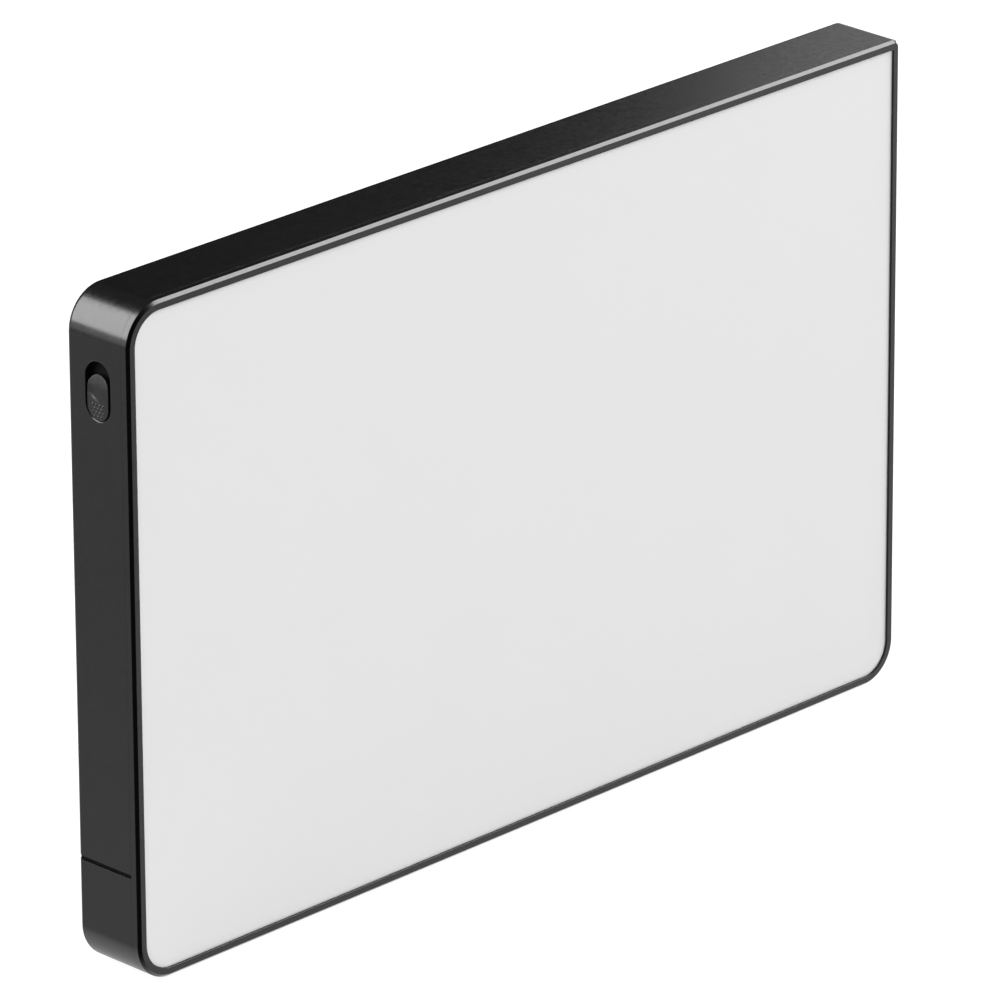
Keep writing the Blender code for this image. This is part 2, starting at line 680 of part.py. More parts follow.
def slide_switch():
    """The switch body with its travel slot, and the actuator that the knob carries along."""
    middle_z = KNOB_Z + SWITCH_TRAVEL / 2
    body = block("slide_switch_body", (-73.3, SLOT_Y - 1.8, middle_z - 4.3),
                 (-70.1, SLOT_Y + 1.8, middle_z + 4.3))
    cut(body, block("cut_switch_travel", (-74.0, SLOT_Y - 1.15, middle_z - 1.95),
                    (-72.0, SLOT_Y + 1.15, middle_z + 1.95)))
    paint(body, "steel")
    actuator = block("switch_actuator", (-74.2, SLOT_Y - 1.0, KNOB_Z - 0.75),
                     (-72.2, SLOT_Y + 1.0, KNOB_Z + 0.75))
    paint(actuator, "black_plastic")
    board = block("switch_board", (-69.95, -1.8, 79.6), (-69.15, 3.6, 91.2))
    paint(board, "board")
    ribbon = block("switch_ribbon", (-68.6, 3.0, 13.0), (-65.4, 3.2, 80.4))
    tail = block("ribbon_tail", (-69.05, 3.0, 79.7), (-68.0, 3.2, 80.4))
    join(ribbon, tail)
    paint(ribbon, "amber_film")


# Leads


def leads():
    for sign, offset, finish in (("positive", 0.0, "red_wire"), ("negative", 1.4, "black_wire")):
        side = 64.5 + offset
        top = 85.3 + offset
        lead(f"battery_lead_{sign}", (
            (16.4, 2.9, top), (30.0, 3.2, top), (side - 8.0, 3.2, top), (side - 2.0, 3.2, top - 0.8),
            (side, 3.2, top - 4.0), (side, 3.2, 60.0), (side, 3.2, 22.0), (side, 3.5, 13.5),
        ), 4.0, finish)
        x = 24.4 + offset
        lead(f"led_lead_{sign}", (
            (x, 3.5, 14.1), (x, 3.3, 15.4), (x, 2.5, 16.4), (x, 1.6, 16.6), (x, 1.15, 16.6),
        ), 0.8, finish)


clear_scene()
PARTS = new_collection("led_panel_light")
CUTTERS = new_collection("cutters")

front_frame()
rear_shell()
lower_cover()
seam_seal()
screws()
diffuser_panel()
diffuser_adhesive()
diffusion_film()
reflector_frame()
led_board()
heat_spreader()
battery()
main_board()
board_components()
usb_c_port()
tripod_nut()
buttons()
gauge_light_pipe()
switch_knob()
slide_switch()
leads()
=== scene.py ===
"""The looks of the slim battery LED panel light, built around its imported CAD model.

Shapes are written in millimetres, in the model's own frame: the origin is the middle of the
footprint, the lit face looks towards -Y, and +Z is up.
"""

import math

import bmesh
import bpy
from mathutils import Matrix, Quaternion, Vector


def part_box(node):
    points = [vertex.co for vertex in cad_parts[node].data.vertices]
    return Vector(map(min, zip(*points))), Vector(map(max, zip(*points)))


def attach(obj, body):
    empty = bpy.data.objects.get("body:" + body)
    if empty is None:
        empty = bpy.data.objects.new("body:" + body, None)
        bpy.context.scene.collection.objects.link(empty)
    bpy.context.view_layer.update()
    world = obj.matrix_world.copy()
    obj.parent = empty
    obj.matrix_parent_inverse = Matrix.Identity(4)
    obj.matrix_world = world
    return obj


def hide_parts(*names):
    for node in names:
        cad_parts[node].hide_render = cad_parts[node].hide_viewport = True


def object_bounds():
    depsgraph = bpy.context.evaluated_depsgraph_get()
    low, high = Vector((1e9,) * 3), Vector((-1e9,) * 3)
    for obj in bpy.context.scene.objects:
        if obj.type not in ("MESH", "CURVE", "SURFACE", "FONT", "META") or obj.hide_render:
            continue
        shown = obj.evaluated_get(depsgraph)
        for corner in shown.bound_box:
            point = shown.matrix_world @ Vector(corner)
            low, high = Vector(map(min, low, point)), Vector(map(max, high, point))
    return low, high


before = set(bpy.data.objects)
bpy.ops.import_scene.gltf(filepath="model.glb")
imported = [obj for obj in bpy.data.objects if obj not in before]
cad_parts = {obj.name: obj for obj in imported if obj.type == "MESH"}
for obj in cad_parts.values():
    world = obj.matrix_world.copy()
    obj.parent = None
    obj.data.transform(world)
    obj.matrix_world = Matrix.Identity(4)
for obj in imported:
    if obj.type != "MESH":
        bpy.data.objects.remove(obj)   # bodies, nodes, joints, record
CAD_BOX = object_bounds()

MM = 0.001


def node_box(node):
    """Lowest and highest corner of a CAD node, in millimetres."""
    low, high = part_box(node)
    return low / MM, high / MM


# Driving sizes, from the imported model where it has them
BODY_LOW, BODY_HIGH = (corner / MM for corner in CAD_BOX)
SIDE = BODY_HIGH.x
FRONT = BODY_LOW.y
BACK = BODY_HIGH.y
HEIGHT = BODY_HIGH.z
CORNER_RADIUS = 6.0
SQUARE_CORNER_RADIUS = 1.2
SMALLEST_RADIUS = 0.15
CORNER_STEPS = 24
SQUARE_CORNER_STEPS = 8
ROUND_STEPS = 12
SHARP_DEGREES = 32.0  # edges that bend more than this look sharp

# Front frame
RIM = 1.36  # width of its face, from the outside to the diffuser
FRAME_CHAMFER = 0.42
FRAME_BACK = FRONT + 1.42
SEAT_INSET = 2.5
SEAT_Y = FRONT + 1.15
SKIRT_INSET = 1.0
SKIRT_END = 3.0
BOSS_RADIUS = 2.3
BOSS_FRONT = 1.1
BOSS_BACK = BACK - 1.15
BOSS_HOLE_RADIUS = 1.15
BOSS_HOLE_START = 1.5

# Shells
SEAM = 0.015  # joint between the frame and the shells
SEAM_EDGE = 0.01  # radius of the edges along it
SIDE_WALL = 0.9
INNER_BACK = BACK - 1.0
BACK_EDGE = 1.0
PARTING_LOW = node_box("lower_cover")[1].z
PARTING_HIGH = node_box("rear_shell")[0].z
PARTING_EDGE = 0.06
RIB_INSET = 0.35  # the seal's rib, below the outside
DIFFUSER_GAP = 0.01
DIFFUSER_EDGE_DEPTH = 0.65
DIFFUSER_DEPTH = 2.0

# Switch slot and thumb piece
SLOT_CENTRE = (-0.05, 85.55)
SLOT_SIZE = (5.0, 8.8)
SLOT_LIP = 0.15
KNOB_CENTRE = (0.1, 84.55)
KNOB_SIZE = (4.15, 6.6)
KNOB_FACE = -SIDE
KNOB_BASE = -74.8
KNOB_EDGE = 0.12
SOCKET_HALF = 1.9  # half the width of the block on the thumb piece's back
ACTUATOR_HALF = (1.1, 0.85)  # half the hole in it, along y and z
FLANGE_HALF = 2.9
FLANGE_X = (-74.95, -74.45)
FLANGE_Z = (78.85, 90.3)

# Controls and ports
BUTTONS = {"brightness_down": 32.0, "brightness_up": 44.0}
CONTROL_Z = 8.5
BUTTON_SIZE = (7.6, 4.0)
BUTTON_GAP = 0.2
BUTTON_FACE = BACK - 0.1
BUTTON_FLANGE = 0.8  # the flange inside the cover, past the button on every side
GAUGE_X = (-24.0, -20.0, -16.0, -12.0)
USB_CENTRE = (2.75, 8.0)
USB_SIZE = (3.16, 8.94)
USB_GAP = 0.18
USB_POCKET_HALF = 4.8  # half the height of the port's pocket in the frame
TRIPOD_CENTRE = (0.0, 0.9)
TRIPOD_HOLE_RADIUS = 3.45
THREAD_ROOT = 3.15
THREAD_CREST = 2.6
THREAD_PITCH = 1.27
SCREWS = {
    "screw_top_left": (-71.6, 94.1),
    "screw_top_right": (71.6, 94.1),
    "screw_middle_left": (-71.6, 20.6),
    "screw_middle_right": (71.6, 20.6),
    "screw_bottom_left": (-56.0, 4.4),
    "screw_bottom_right": (56.0, 4.4),
}


# Outlines


def arc(centre, radius, start_degrees, steps, sweep=90.0):
    """Points along an arc, both ends included."""
    points = []
    for step in range(steps + 1):
        angle = math.radians(start_degrees + sweep * step / steps)
        points.append((centre[0] + radius * math.cos(angle), centre[1] + radius * math.sin(angle)))
    return points


def rounded_outline(low, high, radii, steps):
    """A rectangle with a radius for each corner, anticlockwise from the low corner."""
    first, second, third, fourth = radii
    points = arc((low[0] + first, low[1] + first), first, 180, steps[0])
    points += arc((high[0] - second, low[1] + second), second, 270, steps[1])
    points += arc((high[0] - third, high[1] - third), third, 0, steps[2])
    points += arc((low[0] + fourth, high[1] - fourth), fourth, 90, steps[3])
    return points


def body_outline(inset):
    """The light's front view, drawn in by an inset on every side."""
    radii = []
    for radius in (CORNER_RADIUS, CORNER_RADIUS, SQUARE_CORNER_RADIUS, CORNER_RADIUS):
        radii.append(max(radius - inset, SMALLEST_RADIUS))
    steps = (CORNER_STEPS, CORNER_STEPS, SQUARE_CORNER_STEPS, CORNER_STEPS)
    return rounded_outline((-SIDE + inset, inset), (SIDE - inset, HEIGHT - inset), radii, steps)


def oblong(centre, size, radius, grow=0.0):
    """A rounded rectangle about a centre, grown by a width on every side."""
    half = (size[0] / 2 + grow, size[1] / 2 + grow)
    low = (centre[0] - half[0], centre[1] - half[1])
    high = (centre[0] + half[0], centre[1] + half[1])
    return rounded_outline(low, high, (radius + grow,) * 4, (ROUND_STEPS,) * 4)


def softened(corners, steps=3):
    """A profile from (a, b, radius) corners: each inner corner with a radius becomes an arc."""
    points = [Vector(corners[0][:2])]
    for before, corner, after in zip(corners, corners[1:], corners[2:]):
        here = Vector(corner[:2])
        radius = corner[2]
        if not radius:
            points.append(here)
            continue
        back = (Vector(before[:2]) - here).normalized()
        ahead = (Vector(after[:2]) - here).normalized()
        half = back.angle(ahead) / 2
        centre = here + (back + ahead).normalized() * radius / math.sin(half)
        start = (here + back * radius / math.tan(half) - centre).normalized()
        end = (here + ahead * radius / math.tan(half) - centre).normalized()
        for step in range(steps + 1):
            points.append(centre + start.slerp(end, step / steps) * radius)
    points.append(Vector(corners[-1][:2]))
    return points


# Meshes


def across(axis, outline, level):
    """An outline's points where it lies across an axis at a level."""
    if axis == "X":
        return [(level, u, v) for u, v in outline]
    if axis == "Y":
        return [(u, level, v) for u, v in outline]
    return [(u, v, level) for u, v in outline]


def loft(rings, joined=False):
    """A closed skin over rings of equally many points: its ends are capped or joined."""
    shape = bmesh.new()
    rows = [[shape.verts.new([value * MM for value in point]) for point in ring] for ring in rings]
    pairs = list(zip(rows, rows[1:]))
    if joined:
        pairs.append((rows[-1], rows[0]))
    for low, high in pairs:
        for index in range(len(low)):
            after = (index + 1) % len(low)
            shape.faces.new((low[index], low[after], high[after], high[index]))
    if not joined:
        shape.faces.new(rows[0])
        shape.faces.new(rows[-1])
    bmesh.ops.recalc_face_normals(shape, faces=shape.faces)
    return shape


def swept(profile, joined=False):
    """A profile of (inset, y) points taken round the body's outline."""
    return loft([across("Y", body_outline(inset), y) for inset, y in profile], joined)


def turned(axis, centre, profile, sides=48):
    """A profile of (radius, level) points turned about an axis."""
    rings = []
    for radius, level in profile:
        circle = arc(centre, radius, 0.0, sides, 360.0)[:-1]
        rings.append(across(axis, circle, level))
    return loft(rings)


def block(low, high, edge=0.0):
    """A box between two corners, with rounded edges where an edge width is given."""
    corners = [(low[0], low[1]), (high[0], low[1]), (high[0], high[1]), (low[0], high[1])]
    shape = loft([across("Z", corners, low[2]), across("Z", corners, high[2])])
    if edge:
        bmesh.ops.bevel(shape, geom=shape.edges[:], offset=edge * MM, segments=3,
                        profile=0.5, affect="EDGES")
    return shape


def mouth(axis, centre, size, radius, face, outward, depth, lip):
    """A cutter for a hole with a rounded lip: straight in the wall, and flared at its face."""
    overshoot = 0.03 * lip
    profile = [(0.0, face - outward * depth)]
    for grow, level in arc((lip, 0.0), lip, 180.0, 6, -90.0):
        profile.append((grow, face - outward * (lip - level - overshoot)))
    profile.append((lip, face + outward))
    return loft([across(axis, oblong(centre, size, radius, grow), level)
                 for grow, level in profile])


def as_object(name, shape):
    """Makes an object of a shape, and frees the shape."""
    mesh = bpy.data.meshes.new(name)
    shape.to_mesh(mesh)
    shape.free()
    thing = bpy.data.objects.new(name, mesh)
    bpy.context.scene.collection.objects.link(thing)
    return thing


def change(thing, operation, shapes):
    """Cuts shapes out of a thing or joins them on, one by one, and applies it."""
    for shape in shapes:
        tool = as_object("tool", shape)
        modifier = thing.modifiers.new("change", "BOOLEAN")
        modifier.operation = operation
        modifier.solver = "EXACT"
        modifier.object = tool
        depsgraph = bpy.context.evaluated_depsgraph_get()
        mesh = bpy.data.meshes.new_from_object(thing.evaluated_get(depsgraph))
        thing.modifiers.clear()
        thing.data = mesh
        bpy.data.objects.remove(tool)


def cut(thing, *shapes):
    change(thing, "DIFFERENCE", shapes)


def join(thing, *shapes):
    change(thing, "UNION", shapes)


def smooth_fans(vert):
    """The faces round a vertex, in groups that no sharp edge parts."""
    fans = []
    left = set(vert.link_faces)
    while left:
        fan = []
        queue = [left.pop()]
        while queue:
            face = queue.pop()
            fan.append(face)
            for edge in face.edges:
                if vert in edge.verts and edge.smooth:
                    beside = left.intersection(edge.link_faces)
                    queue.extend(beside)
                    left -= beside
        fans.append(fan)
    return fans


def weigh_normals(mesh):
    """Averages corner normals by area, so that broad faces stay flat beside narrow roundings."""
    shape = bmesh.new()
    shape.from_mesh(mesh)
    areas = {face: face.calc_area() for face in shape.faces}
    normals = {}
    for vert in shape.verts:
        for fan in smooth_fans(vert):
            total = sum((face.normal * areas[face] for face in fan), Vector())
            for face in fan:
                normals[face, vert] = total.normalized()
    corners = [normals[face, vert] for face in shape.faces for vert in face.verts]
    shape.free()
    mesh.normals_split_custom_set(corners)


def piece(thing, material, body, slot, *nodes):
    """Smooths a finished mesh, gives it its material, and sets it on its body."""
    thing.data.materials.clear()
    thing.data.materials.append(material)
    thing.data.shade_smooth()
    thing.data.set_sharp_from_angle(angle=math.radians(SHARP_DEGREES))
    weigh_normals(thing.data)
    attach(thing, body)
    if nodes:
        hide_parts(*nodes)
    return thing


# Materials


class Finish:
    """A procedural material: a Principled shader, and textures laid out in millimetres."""

    def __init__(self, name, colour, roughness, metallic=0.0, ior=1.5):
        self.material = bpy.data.materials.new(name)
        self.material.use_nodes = True
        self.tree = self.material.node_tree
        self.shader = self.tree.nodes["Principled BSDF"]
        self.colour = colour
        self.shader.inputs["Base Color"].default_value = (*colour, 1.0)
        self.shader.inputs["Roughness"].default_value = roughness
        self.shader.inputs["Metallic"].default_value = metallic
        self.shader.inputs["IOR"].default_value = ior
        self.roughness = roughness
        place = self.tree.nodes.new("ShaderNodeTexCoord")
        self.place = self.scaled(place.outputs["Object"], (1 / MM,) * 3)

    def link(self, start, end):
        self.tree.links.new(start, end)

    def scaled(self, vector, factors):
        node = self.tree.nodes.new("ShaderNodeVectorMath")
        node.operation = "MULTIPLY"
        node.inputs[1].default_value = factors
        self.link(vector, node.inputs[0])
        return node.outputs[0]

    def noise(self, size, detail=2.0, stretch=(1.0, 1.0, 1.0)):
        node = self.tree.nodes.new("ShaderNodeTexNoise")
        node.inputs["Scale"].default_value = 1.0 / size
        node.inputs["Detail"].default_value = detail
        self.link(self.scaled(self.place, stretch), node.inputs["Vector"])
        return node.outputs["Fac"]

    def cells(self, size, feature="F1", randomness=1.0):
        node = self.tree.nodes.new("ShaderNodeTexVoronoi")
        node.feature = feature
        node.inputs["Scale"].default_value = 1.0 / size
        node.inputs["Randomness"].default_value = randomness
        self.link(self.place, node.inputs["Vector"])
        return node.outputs["Distance"]

    def bands(self, pitch, direction):
        """A wave from 0 to 1 along an axis, one period every pitch."""
        node = self.tree.nodes.new("ShaderNodeTexWave")
        node.wave_type = "BANDS"
        node.bands_direction = direction
        node.inputs["Scale"].default_value = math.tau / 20.0 / pitch
        self.link(self.place, node.inputs["Vector"])
        return node.outputs["Fac"]

    def remap(self, value, start, end, low, high):
        node = self.tree.nodes.new("ShaderNodeMapRange")
        for socket, number in zip(node.inputs[1:5], (start, end, low, high)):
            socket.default_value = number
        self.link(value, node.inputs[0])
        return node.outputs[0]

    def times(self, first, second):
        node = self.tree.nodes.new("ShaderNodeMath")
        node.operation = "MULTIPLY"
        self.link(first, node.inputs[0])
        self.link(second, node.inputs[1])
        return node.outputs[0]

    def tint(self, factor, other):
        """Mixes another colour into what feeds the base colour."""
        node = self.tree.nodes.new("ShaderNodeMix")
        node.data_type = "RGBA"
        base = self.shader.inputs["Base Color"]
        if base.links:
            self.link(base.links[0].from_socket, node.inputs[6])
        else:
            node.inputs[6].default_value = (*self.colour, 1.0)
        node.inputs[7].default_value = (*other, 1.0)
        self.link(factor, node.inputs[0])
        self.link(node.outputs[2], base)

    def polish(self, value, spread):
        """Lets the roughness vary by a spread either side of its mean."""
        low, high = self.roughness - spread, self.roughness + spread
        self.link(self.remap(value, 0.3, 0.7, low, high), self.shader.inputs["Roughness"])

    def bump(self, height, depth):
        """Raises the surface by a depth in millimetres where the height is 1."""
        node = self.tree.nodes.new("ShaderNodeBump")
        node.inputs["Distance"].default_value = depth * MM
        normal = self.shader.inputs["Normal"]
        if normal.links:
            self.link(normal.links[0].from_socket, node.inputs["Normal"])
        self.link(height, node.inputs["Height"])
        self.link(node.outputs[0], normal)


def satin_black(name, colour, roughness):
    """Fine-blasted and dyed or painted black: a tight grain and a faint cloudiness."""
    finish = Finish(name, colour, roughness)
    finish.tint(finish.remap(finish.noise(14.0, 4.0), 0.35, 0.65, 0.0, 1.0),
                [channel * 1.35 for channel in colour])
    finish.polish(finish.noise(0.7, 4.0), 0.045)
    finish.bump(finish.noise(0.12, 2.0), 0.0012)
    return finish.material


def moulded_black(name, colour, roughness, grain=0.2):
    """Spark-textured moulded plastic."""
    finish = Finish(name, colour, roughness)
    finish.tint(finish.remap(finish.noise(3.0, 3.0), 0.35, 0.65, 0.0, 0.6),
                [channel * 1.6 + 0.002 for channel in colour])
    finish.polish(finish.noise(0.5, 3.0), 0.05)
    finish.bump(finish.cells(grain), 0.004)
    return finish.material


def dull_black(name):
    """Flocked or heavily grained black that hardly reflects."""
    finish = Finish(name, (0.0022, 0.0022, 0.0022), 0.85, ior=1.2)
    finish.tint(finish.remap(finish.noise(0.6, 3.0), 0.35, 0.65, 0.0, 1.0), (0.004, 0.004, 0.004))
    finish.polish(finish.noise(0.2, 2.0), 0.08)
    finish.bump(finish.cells(0.12), 0.02)
    return finish.material


def opal_acrylic(name):
    """Milky acrylic with a fine matte face."""
    finish = Finish(name, (0.813, 0.813, 0.813), 0.50, ior=1.49)
    finish.tint(finish.remap(finish.noise(18.0, 3.0), 0.3, 0.7, 0.0, 1.0), (0.805, 0.806, 0.808))
    finish.polish(finish.noise(0.3, 2.0), 0.04)
    finish.bump(finish.noise(0.15, 2.0), 0.0008)
    return finish.material


def white_plastic(name, colour=(0.82, 0.82, 0.80), grain=0.25):
    """Moulded white plastic or film with a fine grain."""
    finish = Finish(name, colour, 0.5)
    finish.tint(finish.remap(finish.noise(5.0, 3.0), 0.35, 0.65, 0.0, 1.0),
                [channel * 0.94 for channel in colour])
    finish.polish(finish.noise(0.6, 3.0), 0.06)
    finish.bump(finish.cells(grain), 0.003)
    return finish.material


def soft_sheet(name, colour, fibre):
    """Tape, film or foam with a fibrous or foamed face."""
    finish = Finish(name, colour, 0.7)
    finish.tint(finish.remap(finish.noise(fibre * 6, 4.0), 0.3, 0.7, 0.0, 1.0),
                [channel * 0.8 for channel in colour])
    finish.bump(finish.cells(fibre), 0.02)
    finish.polish(finish.noise(fibre * 2, 2.0), 0.08)
    return finish.material


def metal(name, colour, roughness, grain, stretch=(1.0, 1.0, 1.0)):
    """Bare or plated metal, with its grain drawn out along an axis."""
    finish = Finish(name, colour, roughness, metallic=1.0)
    finish.tint(finish.remap(finish.noise(grain * 20, 4.0), 0.35, 0.7, 0.0, 1.0),
                [channel * 0.82 for channel in colour])
    finish.polish(finish.noise(grain * 3, 3.0, stretch), 0.09)
    finish.bump(finish.noise(grain, 2.0, stretch), 0.003)
    return finish.material


def foil_pouch(name):
    """Crinkled aluminium laminate."""
    finish = Finish(name, (0.56, 0.57, 0.60), 0.34, metallic=0.9)
    finish.tint(finish.remap(finish.noise(8.0, 3.0), 0.35, 0.65, 0.0, 1.0), (0.46, 0.47, 0.50))
    finish.polish(finish.noise(1.2, 3.0), 0.08)
    finish.bump(finish.noise(4.0, 3.0, (1.0, 1.0, 0.4)), 0.12)
    return finish.material


def printed_board(name, mask, pitch=1.4):
    """Solder mask over copper tracks, with plated vias."""
    finish = Finish(name, mask, 0.38)
    along = finish.remap(finish.bands(pitch, "X"), 0.62, 0.70, 0.0, 1.0)
    patch = finish.remap(finish.noise(7.0, 1.0), 0.48, 0.52, 0.0, 1.0)
    tracks = finish.times(along, patch)
    finish.tint(tracks, [min(channel * 1.7 + 0.01, 1.0) for channel in mask])
    vias = finish.remap(finish.cells(1.9), 0.13, 0.16, 1.0, 0.0)
    finish.tint(vias, (0.60, 0.47, 0.22))
    finish.polish(finish.noise(0.8, 3.0), 0.06)
    finish.bump(tracks, 0.02)
    return finish.material


def led_board_white(name):
    """White solder mask; the faces of the LEDs that stand proud of it are phosphor yellow."""
    finish = Finish(name, (0.78, 0.78, 0.75), 0.45)
    split = finish.tree.nodes.new("ShaderNodeSeparateXYZ")
    finish.link(finish.place, split.inputs[0])
    raised = finish.remap(split.outputs["Y"], -0.69, -0.68, 1.0, 0.0)
    finish.tint(raised, (0.80, 0.56, 0.10))
    finish.polish(finish.noise(0.7, 3.0), 0.06)
    finish.bump(finish.remap(finish.bands(2.0, "X"), 0.6, 0.7, 0.0, 1.0), 0.015)
    return finish.material


def wire_jacket(name, colour):
    """Soft extruded insulation."""
    finish = Finish(name, colour, 0.38)
    finish.tint(finish.remap(finish.noise(1.5, 3.0), 0.35, 0.65, 0.0, 1.0),
                [channel * 0.7 for channel in colour])
    finish.polish(finish.noise(0.4, 2.0), 0.06)
    finish.bump(finish.noise(0.3, 2.0), 0.006)
    return finish.material


def ribbon_film(name):
    """Amber film over copper tracks that run along the ribbon."""
    finish = Finish(name, (0.42, 0.17, 0.03), 0.30)
    tracks = finish.remap(finish.bands(0.8, "X"), 0.45, 0.55, 0.0, 1.0)
    finish.tint(tracks, (0.62, 0.30, 0.08))
    finish.polish(finish.noise(1.0, 2.0), 0.05)
    finish.bump(tracks, 0.03)
    return finish.material


def clear_plastic(name):
    """Clear acrylic, slightly frosted."""
    finish = Finish(name, (0.90, 0.92, 0.93), 0.22, ior=1.49)
    finish.shader.inputs["Transmission Weight"].default_value = 0.55
    finish.tint(finish.remap(finish.noise(2.0, 2.0), 0.35, 0.65, 0.0, 1.0), (0.84, 0.87, 0.89))
    finish.polish(finish.noise(0.4, 2.0), 0.05)
    finish.bump(finish.noise(0.25, 2.0), 0.004)
    return finish.material


# Pieces of the housing


def front_frame(material):
    """The rim with its chamfered edge, the diffuser's seat, the skirt and the screw bosses."""
    corners = [
        (SKIRT_INSET, SKIRT_END - 1.0, 0.0),
        (SKIRT_INSET, FRAME_BACK, 0.05),
        (0.0, FRAME_BACK, SEAM_EDGE),
        (0.0, FRONT + FRAME_CHAMFER, 0.06),
        (FRAME_CHAMFER, FRONT, 0.06),
        (RIM, FRONT, 0.06),
        (RIM, SEAT_Y, 0.05),
        (SEAT_INSET, SEAT_Y, 0.1),
        (SEAT_INSET, SKIRT_END, 0.1),
        (SKIRT_INSET, SKIRT_END, 0.1),
        (SKIRT_INSET, SKIRT_END - 0.5, 0.0),
    ]
    thing = as_object("front_frame_piece", swept(softened(corners), joined=True))
    for place in SCREWS.values():
        join(thing, turned("Y", place, [(BOSS_RADIUS, BOSS_FRONT), (BOSS_RADIUS, BOSS_BACK)]))
    for place in SCREWS.values():
        cut(thing, turned("Y", place, [(BOSS_HOLE_RADIUS, BOSS_HOLE_START),
                                       (BOSS_HOLE_RADIUS, BOSS_BACK + 0.5)]))
    usb_low, usb_high = USB_CENTRE[1] - USB_POCKET_HALF, USB_CENTRE[1] + USB_POCKET_HALF
    switch_pocket = block((-77.0, -3.3, 77.5), (-73.3, 5.0, 93.6))
    nut_pocket = block((-7.3, -3.1, -1.0), (7.3, 5.0, 8.0))
    usb_pocket = block((72.0, 1.05, usb_low), (77.0, 5.0, usb_high))
    cut(thing, switch_pocket, nut_pocket, usb_pocket)
    return piece(thing, material, "housing", "frame_black", "front_frame")


def tray(name):
    """The shell before it is parted: side walls and back, with a rounded back edge."""
    start = FRAME_BACK + SEAM
    corners = [
        (SIDE_WALL + 0.4, INNER_BACK, 0.0),
        (SIDE_WALL, INNER_BACK, 0.3),
        (SIDE_WALL, start, 0.05),
        (0.0, start, SEAM_EDGE),
        (0.0, BACK, BACK_EDGE),
        (BACK_EDGE + 0.5, BACK, 0.0),
    ]
    return as_object(name, swept(softened(corners, 8)))


def round_parting_edge(thing, level):
    """Breaks the outer edge along the parting line."""
    def outside(vert):
        x, y, z = (abs(value) / MM for value in vert.co)
        on_wall = x > SIDE - BACK_EDGE - 0.001 and vert.co.y / MM > FRAME_BACK + SEAM + 0.001
        return abs(z - level) < 0.001 and (on_wall or vert.co.y / MM > BACK - 0.001)

    shape = bmesh.new()
    shape.from_mesh(thing.data)
    edges = [edge for edge in shape.edges if all(outside(vert) for vert in edge.verts)]
    bmesh.ops.bevel(shape, geom=edges, offset=PARTING_EDGE * MM, segments=2, profile=0.5,
                    affect="EDGES")
    shape.to_mesh(thing.data)
    shape.free()


def screw_hole(place):
    """A through hole with a countersink in the back wall."""
    return turned("Y", place, [(1.25, INNER_BACK - 1.0), (1.25, INNER_BACK + 0.2),
                               (2.25, BACK + 0.2)])


def rear_shell(material):
    """The tray above the parting line, with the switch slot."""
    thing = tray("rear_shell_piece")
    cut(thing, block((-80.0, -8.0, -2.0), (80.0, 8.0, PARTING_HIGH)))
    round_parting_edge(thing, PARTING_HIGH)
    straight = [length - 2 * SLOT_LIP for length in SLOT_SIZE]
    cut(thing, mouth("X", SLOT_CENTRE, straight, straight[0] / 2 - 0.001, -SIDE, -1.0, 2.0,
                     SLOT_LIP))
    for name, place in SCREWS.items():
        if "bottom" not in name:
            cut(thing, screw_hole(place))
    return piece(thing, material, "housing", "shell_black", "rear_shell")


def lower_cover(material):
    """The tray below the parting line, with the holes for the controls and ports."""
    thing = tray("lower_cover_piece")
    cut(thing, block((-80.0, -8.0, PARTING_LOW), (80.0, 8.0, HEIGHT + 2.0)))
    round_parting_edge(thing, PARTING_LOW)
    for side in (-1, 1):
        low, high = sorted((side * 6.1, side * 7.0))
        join(thing, block((low, -2.6, 0.5), (high, INNER_BACK + 0.3, 7.0)))
    diameter = 2 * TRIPOD_HOLE_RADIUS
    usb_hole = [length + 2 * USB_GAP for length in USB_SIZE]
    cut(thing,
        mouth("Z", TRIPOD_CENTRE, (diameter, diameter), TRIPOD_HOLE_RADIUS, 0.0, -1.0, 1.05, 0.25),
        mouth("X", USB_CENTRE, usb_hole, usb_hole[0] / 2 - 0.01, SIDE, 1.0, 2.0, 0.2))
    for x in BUTTONS.values():
        hole = [length + 2 * BUTTON_GAP for length in BUTTON_SIZE]
        cut(thing, mouth("Y", (x, CONTROL_Z), hole, hole[1] / 2 - 0.01, BACK, 1.0, 1.5, 0.15))
    for x in GAUGE_X:
        cut(thing, mouth("Y", (x, CONTROL_Z), (1.4, 1.4), 0.7, BACK, 1.0, 1.5, 0.1))
    for name, place in SCREWS.items():
        if "bottom" in name:
            cut(thing, screw_hole(place))
    return piece(thing, material, "housing", "cover_black", "lower_cover")


def seam_seal(material):
    """The rubber strip behind the parting line, with a rib that fills the foot of the groove."""
    low, high = node_box("seam_seal")
    end = high.x - 0.8
    back = high.y - 0.8
    strip = [(low.x, low.y), (low.x, high.y), (high.x, high.y), (high.x, low.y),
             (end, low.y), (end, back), (-end, back), (-end, low.y)]
    side = SIDE - RIB_INSET
    start = FRAME_BACK + SEAM
    inner = SIDE - SKIRT_INSET + 0.01
    rib = [(-side, start), (-side, BACK - RIB_INSET), (side, BACK - RIB_INSET), (side, start),
           (inner, start), (inner, low.y + 0.05), (74.5, low.y + 0.05), (74.5, back + 0.2),
           (-74.5, back + 0.2), (-74.5, low.y + 0.05), (-inner, low.y + 0.05), (-inner, start)]
    thing = as_object("seam_seal_piece",
                      loft([across("Z", strip, level) for level in (low.z, high.z)]))
    join(thing, loft([across("Z", rib, level)
                      for level in (PARTING_LOW + 0.01, PARTING_HIGH - 0.01)]))
    return piece(thing, material, "housing", "seal_rubber", "seam_seal")


